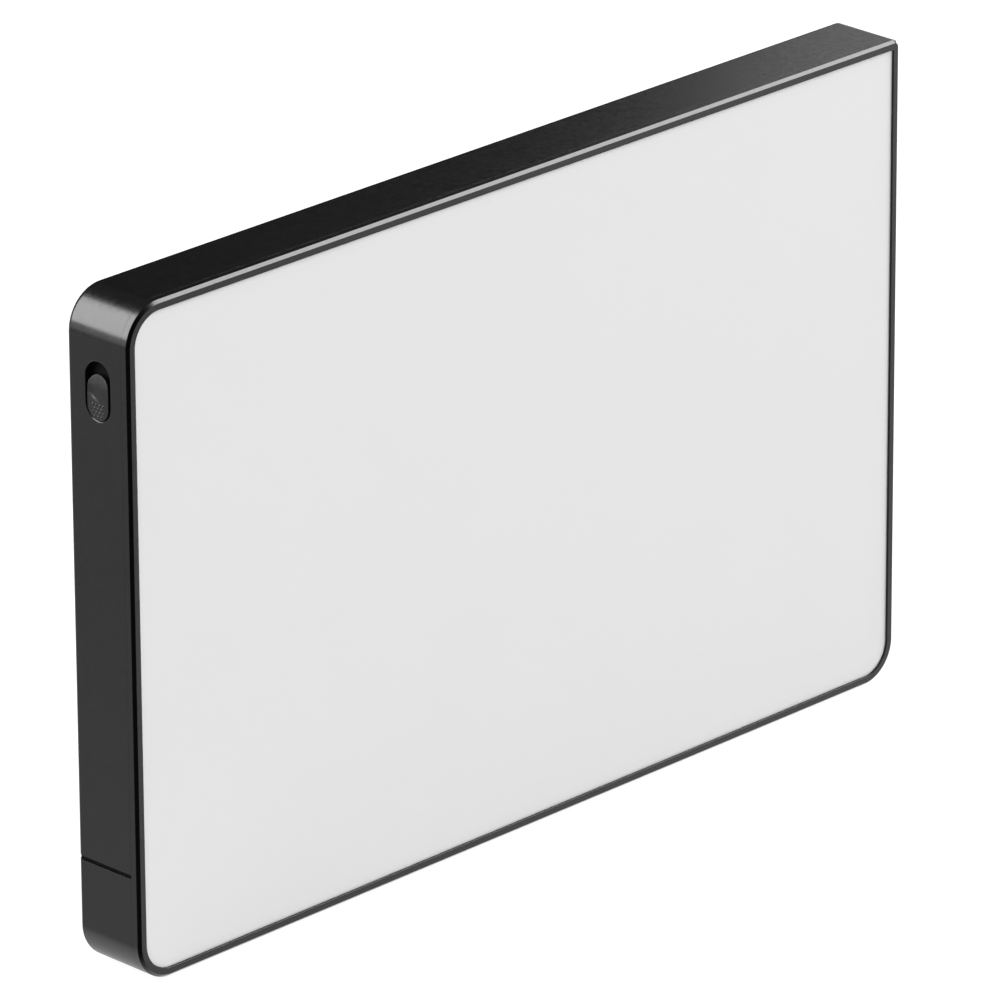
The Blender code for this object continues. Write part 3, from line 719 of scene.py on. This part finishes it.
def diffuser(material):
    """The opal plate: a thin edge held behind the rim, and a thicker middle."""
    front = node_box("diffuser_panel")[0].y
    corners = [
        (RIM + 1.0, front, 0.0),
        (RIM + DIFFUSER_GAP, front, 0.03),
        (RIM + DIFFUSER_GAP, front + DIFFUSER_EDGE_DEPTH, 0.05),
        (2.8, front + DIFFUSER_EDGE_DEPTH, 0.0),
        (2.8, front + DIFFUSER_DEPTH, 0.1),
        (3.5, front + DIFFUSER_DEPTH, 0.0),
    ]
    thing = as_object("diffuser_piece", swept(softened(corners)))
    return piece(thing, material, "housing", "opal_white", "diffuser_panel")


def screws(material):
    """Countersunk screws with a cross recess and a threaded shank."""
    for name, place in SCREWS.items():
        profile = [(0.7, 1.9)]
        level = 2.1
        while level < BACK - 1.25:
            profile += [(1.0, level), (0.82, level + 0.18)]
            level += 0.4
        for radius, depth in ((1.0, 1.05), (1.0, 0.93), (1.88, 0.18), (1.9, 0.14), (1.86, 0.10),
                              (1.76, 0.08)):
            profile.append((radius, BACK - depth))
        thing = as_object(f"{name}_piece", turned("Y", place, profile, 40))
        for wide, high in ((1.05, 0.22), (0.22, 1.05)):
            rings = []
            for scale, y in ((0.55, BACK - 0.65), (1.0, BACK - 0.05), (1.0, BACK + 0.05)):
                half = (max(wide * scale, 0.2), max(high * scale, 0.2))
                rings.append(across("Y", oblong(place, (2 * half[0], 2 * half[1]), 0.08), y))
            cut(thing, loft(rings))
        piece(thing, material, "housing", "screw_steel", name)


# Thumb piece and buttons


def pill(axis, centre, size, outward, base, face, relief, edge, around=180, rings=44):
    """An oblong cap between a base and a face. The face is lowered by relief(u, v), and its
    rim is rounded; u and v are measured from the centre."""
    core = [abs(size[0] - size[1]) / 2 * (size[0] > size[1]),
            abs(size[0] - size[1]) / 2 * (size[1] > size[0])]
    radius = min(size) / 2
    straight = 2 * max(core)
    perimeter = 2 * straight + math.tau * radius

    def rim_point(distance):
        """A point on the rim, by its distance round it from the end of one straight side."""
        half_turn = math.pi * radius
        side, rest = divmod(distance, straight + half_turn)
        sign = 1 if side == 0 else -1
        if rest < half_turn:
            angle = rest / radius
            end, sideways = radius * math.sin(angle) + straight / 2, radius * math.cos(angle)
        else:
            end, sideways = straight / 2 - (rest - half_turn), -radius
        u, v = (sideways * sign, end * sign)
        return (u, v) if core[1] else (v, -u)

    def rounding(u, v):
        """How far the rounded rim lies below the face."""
        outside = math.hypot(max(abs(u) - core[0], 0.0), max(abs(v) - core[1], 0.0))
        inward = max(radius - outside, 0.0)
        if inward >= edge:
            return 0.0
        return edge - math.sqrt(max(edge ** 2 - (edge - inward) ** 2, 0.0))

    rim = [rim_point(perimeter * index / around) for index in range(around)]
    rows = [across(axis, [(centre[0] + u, centre[1] + v) for u, v in rim], base)]
    for ring in range(rings):
        scale = 1.0 - (ring / rings)
        row = []
        for u, v in rim:
            u, v = u * scale, v * scale
            level = face - outward * (relief(u, v) + rounding(u, v))
            row += across(axis, [(centre[0] + u, centre[1] + v)], level)
        rows.append(row)
    return loft(rows)


def smooth_step(value, start, end):
    """Rises smoothly from 0 at the start to 1 at the end."""
    share = min(max((value - start) / (end - start), 0.0), 1.0)
    return share * share * (3 - 2 * share)


def grip_dot(u, v, centre, radius=0.24, height=0.07):
    """Height of a small round dot at a point of the thumb piece."""
    share = math.dist((u, v), centre) / radius
    return height * (1 - share * share) if share < 1 else 0.0


def knob_relief(u, v):
    """A crowned upper half, a slanting thumb ledge, and a flat lower half with grip dots."""
    ledge = 0.58 * max(u, 0.0) - 0.56
    across_cap = smooth_step(u, -0.7, 0.9) * (1.0 - 0.75 * smooth_step(u, 0.9, 2.2))
    from_bend = max(v - 1.3, 0.0)
    crown = 0.02 + 0.125 * across_cap + 0.19 * from_bend ** 2 / (from_bend + 0.8)
    lower = 0.0
    for row, v_row in enumerate((-1.05, -1.6, -2.15, -2.7)):
        count = 4 if row % 2 == 0 else 3
        for index in range(count):
            lower -= grip_dot(u, v, ((index - (count - 1) / 2) * 0.66, v_row))
    share = smooth_step(v, ledge - 0.34, ledge + 0.36)
    return 0.08 + share * crown + (1 - share) * lower


def switch_knob(material):
    """The thumb piece, with the socket that takes the switch's actuator."""
    thing = as_object("switch_knob_piece",
                      pill("X", KNOB_CENTRE, KNOB_SIZE, -1.0, KNOB_BASE, KNOB_FACE, knob_relief,
                           KNOB_EDGE))
    y, z = SLOT_CENTRE[0], KNOB_CENTRE[1]
    half_y, half_z = ACTUATOR_HALF
    join(thing, block((FLANGE_X[0], y - SOCKET_HALF, z - SOCKET_HALF),
                      (-73.6, y + SOCKET_HALF, z + SOCKET_HALF)))
    cut(thing, block((-74.3, y - half_y, z - half_z), (-73.0, y + half_y, z + half_z)))
    return piece(thing, material, "switch_slider", "knob_black", "switch_knob")


def switch_dust_flange(material):
    """The dull flange round the thumb piece, which closes the slot behind it."""
    y, z = SLOT_CENTRE[0], KNOB_CENTRE[1]
    hole = SOCKET_HALF + 0.01
    thing = as_object("switch_dust_flange",
                      block((FLANGE_X[0], y - FLANGE_HALF, FLANGE_Z[0]),
                            (FLANGE_X[1], y + FLANGE_HALF, FLANGE_Z[1]), 0.08))
    cut(thing, block((-75.5, y - hole, z - hole), (-74.0, y + hole, z + hole)))
    return piece(thing, material, "switch_slider", "knob_black")


def groove(distance, half_width=0.24, depth=0.14):
    """Depth of an engraved line, by the distance from its middle."""
    return depth * (1.0 - smooth_step(distance, half_width - 0.08, half_width + 0.08))


def button_relief(sign):
    """A slightly dished face with an engraved plus or minus."""
    def relief(u, v):
        bar = groove(math.hypot(max(abs(u) - 0.75, 0.0), v))
        post = groove(math.hypot(u, max(abs(v) - 0.75, 0.0))) if sign == "plus" else 0.0
        dish = 0.10 * max(0.0, 1.0 - (u / 3.4) ** 2 - (v / 1.8) ** 2)
        return dish + max(bar, post)
    return relief


def buttons(material):
    """The two brightness buttons, each with a flange that keeps it in."""
    for (name, x), sign in zip(BUTTONS.items(), ("minus", "plus")):
        centre = (x, CONTROL_Z)
        cap = pill("Y", centre, BUTTON_SIZE, 1.0, INNER_BACK - 0.6, BUTTON_FACE,
                   button_relief(sign), 0.25, 220, 40)
        thing = as_object(f"{name}_button_piece", cap)
        size = [length + 2 * BUTTON_FLANGE for length in BUTTON_SIZE]
        outline = oblong(centre, size, size[1] / 2 - 0.01)
        join(thing, loft([across("Y", outline, y) for y in (3.75, INNER_BACK - 0.15)]))
        piece(thing, material, name, "button_black", f"{name}_button")


# Ports


def usb_c_port(shell_material, contact_material):
    """A drawn steel shell with a rounded lip, the tongue inside it, and its contacts."""
    y, z = USB_CENTRE
    low, high = node_box("usb_c_port")
    wall = 0.3
    profile = softened([
        (-wall - 0.4, 69.8, 0.0),
        (-wall, 69.8, 0.05),
        (-wall, high.x, 0.1),
        (0.0, high.x, 0.12),
        (0.0, low.x, 0.15),
        (-0.6, low.x, 0.0),
    ])
    radius = USB_SIZE[0] / 2 - 0.01
    thing = as_object("usb_c_port_piece",
                      loft([across("X", oblong(USB_CENTRE, USB_SIZE, radius, grow), x)
                            for grow, x in profile]))
    join(thing, block((69.5, y - 0.35, z - 3.3), (74.6, y + 0.35, z + 3.3), 0.1))
    piece(thing, shell_material, "housing", "plated_steel", "usb_c_port")
    contacts = bmesh.new()
    for side in (-1, 1):
        for index in range(12):
            middle = z + (index - 5.5) * 0.5
            near, far = sorted((y + side * 0.34, y + side * 0.39))
            pad = block((71.2, near, middle - 0.14), (74.2, far, middle + 0.14))
            mesh = bpy.data.meshes.new("pad")
            pad.to_mesh(mesh)
            pad.free()
            contacts.from_mesh(mesh)
            bpy.data.meshes.remove(mesh)
    piece(as_object("usb_contacts", contacts), contact_material, "housing", "plated_steel")


def tripod_nut(material):
    """A brass block with a quarter-inch thread."""
    low, high = node_box("tripod_nut")
    thing = as_object("tripod_nut_piece", block(low, high, 0.25))
    sides = 48
    rings = []
    level = low.z - 0.6
    while level < high.z + 0.6:
        ring = []
        for index in range(sides):
            angle = math.tau * index / sides
            phase = (level / THREAD_PITCH - index / sides) % 1.0
            share = abs(2.0 * phase - 1.0)
            radius = THREAD_CREST + (THREAD_ROOT - THREAD_CREST) * min(share * 1.25, 1.0)
            ring.append((TRIPOD_CENTRE[0] + radius * math.cos(angle),
                         TRIPOD_CENTRE[1] + radius * math.sin(angle), level))
        rings.append(ring)
        level += THREAD_PITCH / 10
    cut(thing, loft(rings))
    countersink = [(3.5, low.z - 0.2), (3.35, low.z + 0.05), (2.5, low.z + 0.75)]
    cut(thing, turned("Z", TRIPOD_CENTRE, countersink))
    return piece(thing, material, "housing", "nut_brass", "tripod_nut")


def gauge_light_pipe(material):
    """A clear bar with four domed studs that reach the back face."""
    low, high = node_box("gauge_light_pipe")
    thing = as_object("gauge_light_pipe_piece",
                      block(low, (high.x, INNER_BACK - 0.1, high.z), 0.1))
    for x in GAUGE_X:
        dome = [(0.5, 4.0), (0.5, high.y - 0.2), (0.46, high.y - 0.1), (0.36, high.y - 0.03),
                (0.2, high.y)]
        join(thing, turned("Y", (x, CONTROL_Z), dome, 32))
    return piece(thing, material, "housing", "pipe_clear", "gauge_light_pipe")


# Finishes of the inner parts, which stay as the CAD model has them


def paint_inner_parts():
    """Gives every CAD node that no piece replaces its material."""
    steel = metal("plated_steel", (0.55, 0.55, 0.56), 0.32, 0.3)
    board = printed_board("board_green", (0.012, 0.085, 0.045))
    black = moulded_black("component_black", (0.012, 0.012, 0.012), 0.45)
    connector = white_plastic("connector_white", (0.78, 0.76, 0.70))
    pouch = foil_pouch("cell_pouch")
    foam = soft_sheet("foam_black", (0.03, 0.03, 0.03), 0.5)
    red = wire_jacket("wire_red", (0.45, 0.012, 0.012))
    dark = wire_jacket("wire_black", (0.010, 0.010, 0.010))
    finishes = {
        "diffuser_adhesive": soft_sheet("adhesive_white", (0.68, 0.68, 0.65), 0.3),
        "diffusion_film": white_plastic("film_white", (0.85, 0.85, 0.85), 0.12),
        "reflector_frame": white_plastic("reflector_white"),
        "led_board": led_board_white("led_board_white"),
        "heat_spreader": metal("bare_aluminium", (0.72, 0.73, 0.74), 0.38, 0.25, (0.05, 1.0, 1.0)),
        "battery_cell_left": pouch,
        "battery_cell_right": pouch,
        "battery_pad_left": foam,
        "battery_pad_right": foam,
        "battery_protection_board": board,
        "battery_lead_positive": red,
        "battery_lead_negative": dark,
        "led_lead_positive": red,
        "led_lead_negative": dark,
        "main_board": board,
        "shield_can": steel,
        "power_inductor": black,
        "battery_connector": connector,
        "led_connector": connector,
        "ribbon_connector": black,
        "brightness_down_tact_switch": steel,
        "brightness_up_tact_switch": steel,
        "slide_switch_body": steel,
        "switch_board": board,
        "switch_ribbon": ribbon_film("ribbon_amber"),
        "switch_actuator": black,
    }
    for name, material in finishes.items():
        for material_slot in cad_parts[name].material_slots:
            material_slot.material = material


# Studio


def area_light(name, direction, distance, size, radiance):
    """A soft light that faces the object, from a direction, with an even radiance."""
    light = bpy.data.lights.new(name, "AREA")
    light.shape = "RECTANGLE"
    light.size, light.size_y = size
    light.energy = 4.0 * size[0] * size[1] * radiance
    lamp = bpy.data.objects.new(name, light)
    bpy.context.scene.collection.objects.link(lamp)
    away = Vector(direction).normalized()
    lamp.location = Vector((0.0, 0.0, HEIGHT / 2 * MM)) + away * distance
    lamp.rotation_mode = "QUATERNION"
    lamp.rotation_quaternion = (-away).to_track_quat("-Z", "Y")
    lamp.visible_camera = False
    return lamp


def glow(name, colour, strength):
    """A matte white surface that glows evenly."""
    material = bpy.data.materials.new(name)
    material.use_nodes = True
    shader = material.node_tree.nodes["Principled BSDF"]
    shader.inputs["Base Color"].default_value = (*colour, 1.0)
    shader.inputs["Roughness"].default_value = 0.9
    shader.inputs["Emission Color"].default_value = (1.0, 1.0, 1.0, 1.0)
    shader.inputs["Emission Strength"].default_value = strength
    return material


def studio():
    """A pale floor and backdrop, and soft lights."""
    shape = bmesh.new()
    bmesh.ops.create_circle(shape, cap_ends=True, segments=128, radius=11.5)
    floor = as_object("studio_floor", shape)
    floor.location.z = -0.1 * MM
    floor.data.materials.append(glow("floor_white", (0.14, 0.14, 0.14), 0.93))
    floor.visible_glossy = False
    shape = bmesh.new()
    bmesh.ops.create_uvsphere(shape, u_segments=64, v_segments=32, radius=12.0)
    dome = as_object("studio_backdrop", shape)
    dome.data.materials.append(glow("backdrop_white", (0.0, 0.0, 0.0), 1.0))
    dome.visible_glossy = False
    dome.visible_diffuse = False
    dome.visible_shadow = False
    dome.visible_transmission = False

    area_light("softbox_back_left", (-0.62, 0.55, 0.56), 2.0, (1.6, 2.2), 6.2)
    area_light("softbox_front_high", (0.648, -0.348, 0.661), 2.0, (1.65, 0.84), 7.6)
    area_light("strip_back_right", (0.825, 0.51, 0.31), 1.5, (0.5, 1.0), 0.58)
    area_light("strip_back_left", (-0.745, 0.65, -0.03), 1.5, (1.0, 0.30), 0.9)
    area_light("softbox_right", (0.97, 0.18, -0.05), 1.5, (0.4, 0.8), 5.0)


def surround():
    """A dim room: lighter below the horizon, on the right and straight behind the object,
    and darker behind the camera and overhead."""
    world = bpy.data.worlds.new("studio_surround")
    bpy.context.scene.world = world
    world.use_nodes = True
    tree = world.node_tree
    background = tree.nodes["Background"]
    place = tree.nodes.new("ShaderNodeTexCoord")

    def along(axis, stops):
        """Levels of grey by how far a direction points along an axis, from -1 to 1."""
        dot = tree.nodes.new("ShaderNodeVectorMath")
        dot.operation = "DOT_PRODUCT"
        dot.inputs[1].default_value = Vector(axis).normalized()
        tree.links.new(place.outputs["Generated"], dot.inputs[0])
        share = tree.nodes.new("ShaderNodeMapRange")
        share.inputs["From Min"].default_value = -1.0
        tree.links.new(dot.outputs["Value"], share.inputs["Value"])
        ramp = tree.nodes.new("ShaderNodeValToRGB")
        elements = ramp.color_ramp.elements
        elements[0].color = (stops[0][1],) * 3 + (1.0,)
        elements[1].color = (stops[-1][1],) * 3 + (1.0,)
        for position, level in stops[1:-1]:
            elements.new((position + 1) / 2).color = (level,) * 3 + (1.0,)
        tree.links.new(share.outputs[0], ramp.inputs[0])
        return ramp.outputs[0]

    def product(first, second):
        node = tree.nodes.new("ShaderNodeMix")
        node.data_type = "RGBA"
        node.blend_type = "MULTIPLY"
        node.inputs[0].default_value = 1.0
        tree.links.new(first, node.inputs[6])
        tree.links.new(second, node.inputs[7])
        return node.outputs[2]

    height = along((0.0, 0.0, 1.0), ((-1.0, 1.45), (-0.60, 1.40), (-0.43, 0.92), (-0.372, 0.42),
                                     (-0.35, 0.82), (-0.28, 0.82), (-0.22, 0.46), (-0.15, 0.46),
                                     (0.2, 0.2), (1.0, 0.2)))
    depth = along((-0.70, -0.71, 0.0), ((-1.0, 0.10), (-0.90, 0.14), (-0.80, 0.50), (-0.7, 0.56),
                                        (0.0, 1.0), (0.75, 0.02), (1.0, 0.02)))
    side = along((1.0, 0.0, 0.0), ((-1.0, 0.84), (0.60, 1.05), (0.72, 2.0), (0.85, 3.2),
                                   (1.0, 3.2)))
    behind = along((0.0, 1.0, 0.0), ((-1.0, 1.0), (0.74, 1.0), (0.82, 0.45), (0.96, 1.7),
                                     (1.0, 1.7)))
    low_right = along((0.66, 0.37, -0.65), ((-1.0, 1.0), (0.93, 1.0), (0.97, 1.9), (1.0, 1.9)))
    level = product(product(product(height, depth), product(side, behind)), low_right)
    tree.links.new(level, background.inputs["Color"])


def camera():
    """A long lens, from the left of the lit face and above it."""
    azimuth, elevation, roll = math.radians(-45.438), math.radians(21.919), math.radians(-0.280)
    distance = 1.32875
    aim = Vector((-0.38, -0.59, 48.22)) * MM
    level = math.cos(elevation)
    back = Vector((math.sin(azimuth) * level, -math.cos(azimuth) * level, math.sin(elevation)))
    data = bpy.data.cameras.new("camera")
    data.sensor_width = 36.0
    data.lens = 342.32
    data.clip_start, data.clip_end = 0.05, 50.0
    view = bpy.data.objects.new("camera", data)
    bpy.context.scene.collection.objects.link(view)
    view.location = aim + back * distance
    view.rotation_mode = "QUATERNION"
    view.rotation_quaternion = (-back).to_track_quat("-Z", "Y") @ Quaternion((0, 0, 1), roll)
    bpy.context.scene.camera = view


bpy.context.scene.view_settings.view_transform = "Standard"
camera()
surround()
studio()

shell_black = satin_black("shell_satin_black", (0.0020, 0.0020, 0.0022), 0.21)
frame_black = satin_black("frame_satin_black", (0.0020, 0.0020, 0.0022), 0.21)
knob_black = moulded_black("knob_matte_black", (0.0025, 0.0025, 0.0027), 0.32, 0.12)
button_black = moulded_black("button_matte_black", (0.010, 0.010, 0.0105), 0.42, 0.12)
screw_steel = metal("screw_black_steel", (0.10, 0.10, 0.105), 0.34, 0.15)
port_steel = metal("port_steel", (0.62, 0.62, 0.63), 0.28, 0.2)
contact_gold = metal("contact_gold", (0.83, 0.62, 0.28), 0.30, 0.1)

front_frame(frame_black)
rear_shell(shell_black)
lower_cover(shell_black)
seam_seal(dull_black("seal_dull_black"))
diffuser(opal_acrylic("opal_acrylic"))
screws(screw_steel)
switch_knob(knob_black)
switch_dust_flange(dull_black("flange_dull_black"))
buttons(button_black)
usb_c_port(port_steel, contact_gold)
tripod_nut(metal("nut_brass", (0.70, 0.52, 0.24), 0.30, 0.12, (1.0, 1.0, 0.1)))
gauge_light_pipe(clear_plastic("pipe_clear"))
paint_inner_parts()
